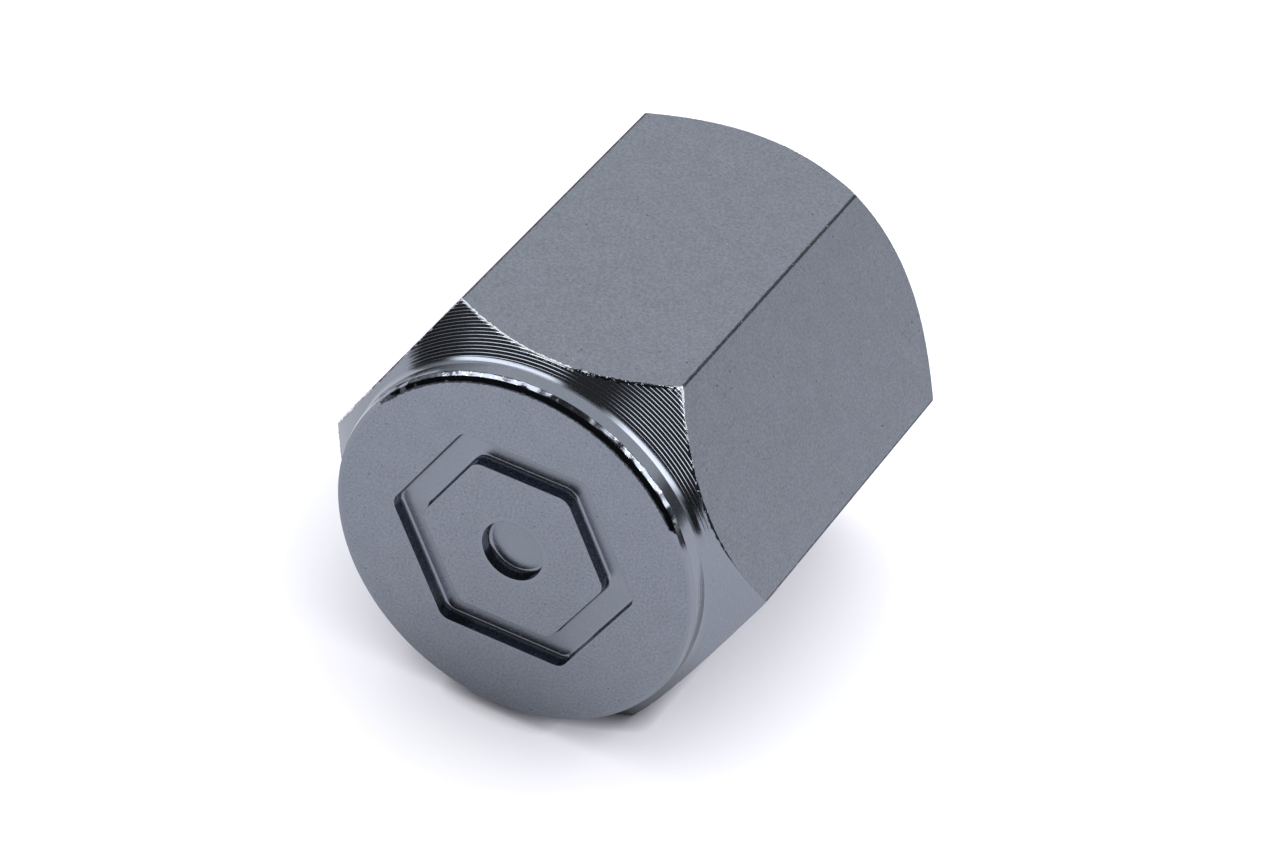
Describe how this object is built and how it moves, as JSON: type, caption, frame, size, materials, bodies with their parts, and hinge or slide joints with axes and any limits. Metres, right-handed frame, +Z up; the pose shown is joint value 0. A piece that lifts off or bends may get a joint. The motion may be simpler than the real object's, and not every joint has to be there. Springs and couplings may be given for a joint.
{
  "type": "tyre valve cap",
  "caption": "Hexagonal metal tyre valve cap with a round turned neck, chamfered ends, a blind threaded bore and a rubber sealing washer.",
  "frame": {"origin": "middle of the bottom of the part's box: the lower flat of the hexagon lies in the plane Z = 0", "axes": "+Z up; +Y along the cap's axis, from the closed face at -Y to the threaded mouth at +Y; +X to the right as the closed face is looked at"},
  "size_m": [0.0116, 0.012, 0.01],
  "materials": {
    "gunmetal_anodised_aluminium": "satin gunmetal anodising over turned aluminium",
    "black_rubber": "matt moulded rubber"
  },
  "bodies": {
    "root": {"cap_body": "gunmetal_anodised_aluminium", "sealing_washer": "black_rubber"}
  },
  "joints": []
}
